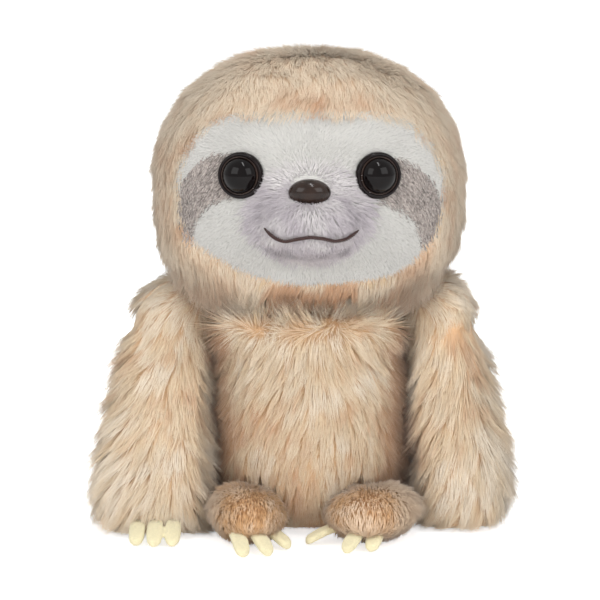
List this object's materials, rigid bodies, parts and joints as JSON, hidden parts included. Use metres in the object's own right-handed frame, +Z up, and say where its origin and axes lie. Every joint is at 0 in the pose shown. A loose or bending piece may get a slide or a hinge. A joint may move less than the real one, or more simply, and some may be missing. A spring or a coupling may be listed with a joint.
{
  "type": "plush sloth",
  "caption": "Sitting plush sloth with a hooded round head, white face, safety eyes, long shaggy arms, small tan feet and felt claws",
  "frame": {"origin": "middle of the flat seat, on the surface that the toy sits on", "axes": "+Z up through the head, -Y the way the face looks, +X toward the toy's own left"},
  "size_m": [0.168, 0.1142, 0.191],
  "materials": {
    "shaggy_plush": "long shaggy polyester faux fur, cream beige with brown roots",
    "smooth_plush": "soft combed faux fur, golden cream",
    "tan_plush": "short dense tan plush",
    "base_cloth": "short-pile seat cloth",
    "white_velour": "short white velour pile",
    "muzzle_plush": "longer white pile with a lilac cast",
    "grey_embroidery": "satin-stitch embroidery in grey thread",
    "brown_yarn": "twisted dark brown yarn",
    "claw_felt": "pressed cream-yellow felt",
    "eye_plastic": "polished dark brown-black acrylic",
    "nose_plastic": "glossy dark brown moulded plastic",
    "washer_plastic": "natural moulded polyethylene",
    "wadding": "white polyester fibre filling",
    "pellet_cloth": "plain woven bag with plastic pellets"
  },
  "bodies": {
    "body": {"body_panel_right": "shaggy_plush", "body_panel_left": "shaggy_plush", "base_panel": "base_cloth", "body_stuffing": "wadding", "bean_bag": "pellet_cloth"},
    "neck": {"neck_wad": "wadding"},
    "head": {"hood_panel_right": "smooth_plush", "hood_panel_left": "smooth_plush", "face_panel_right": "white_velour", "face_panel_left": "white_velour", "muzzle_panel": "muzzle_plush", "head_stuffing": "wadding", "eye_patch_right": "grey_embroidery", "eye_patch_left": "grey_embroidery", "eye_right": "eye_plastic", "eye_left": "eye_plastic", "eye_washer_right": "washer_plastic", "eye_washer_left": "washer_plastic", "nose": "nose_plastic", "nose_washer": "washer_plastic", "mouth_thread": "brown_yarn"},
    "arm_right": {"arm_right_outer_panel": "shaggy_plush", "arm_right_inner_panel": "shaggy_plush", "arm_right_stuffing": "wadding", "hand_right_claw_1": "claw_felt", "hand_right_claw_2": "claw_felt", "hand_right_claw_3": "claw_felt"},
    "arm_left": {"arm_left_outer_panel": "shaggy_plush", "arm_left_inner_panel": "shaggy_plush", "arm_left_stuffing": "wadding", "hand_left_claw_1": "claw_felt", "hand_left_claw_2": "claw_felt", "hand_left_claw_3": "claw_felt"},
    "foot_right": {"foot_right_upper": "tan_plush", "foot_right_sole": "tan_plush", "foot_right_stuffing": "wadding", "foot_right_claw_1": "claw_felt", "foot_right_claw_2": "claw_felt", "foot_right_claw_3": "claw_felt"},
    "foot_left": {"foot_left_upper": "tan_plush", "foot_left_sole": "tan_plush", "foot_left_stuffing": "wadding", "foot_left_claw_1": "claw_felt", "foot_left_claw_2": "claw_felt", "foot_left_claw_3": "claw_felt"}
  },
  "joints": [
    {"name": "neck_turn", "type": "hinge", "parent": "body", "child": "neck", "pos_m": [0, 0, 0.097], "axis": [0, 0, 1], "range_deg": [-25, 25], "stiffness_Nm_per_rad": 0.12},
    {"name": "head_nod", "type": "hinge", "parent": "neck", "child": "head", "pos_m": [0, 0, 0.097], "axis": [1, 0, 0], "range_deg": [-8, 8], "stiffness_Nm_per_rad": 0.6},
    {"name": "arm_right_swing", "type": "hinge", "parent": "body", "child": "arm_right", "pos_m": [-0.0485, 0.002, 0.07839], "axis": [-1, 0, 0], "range_deg": [-10, 60], "stiffness_Nm_per_rad": 0.06},
    {"name": "arm_left_swing", "type": "hinge", "parent": "body", "child": "arm_left", "pos_m": [0.0485, 0.002, 0.07839], "axis": [-1, 0, 0], "range_deg": [-10, 60], "stiffness_Nm_per_rad": 0.06},
    {"name": "foot_right_fold", "type": "hinge", "parent": "body", "child": "foot_right", "pos_m": [-0.024, -0.027, 0.0135], "axis": [-1, 0, 0], "range_deg": [-15, 20], "stiffness_Nm_per_rad": 0.05},
    {"name": "foot_left_fold", "type": "hinge", "parent": "body", "child": "foot_left", "pos_m": [0.024, -0.027, 0.0135], "axis": [-1, 0, 0], "range_deg": [-15, 20], "stiffness_Nm_per_rad": 0.05}
  ]
}
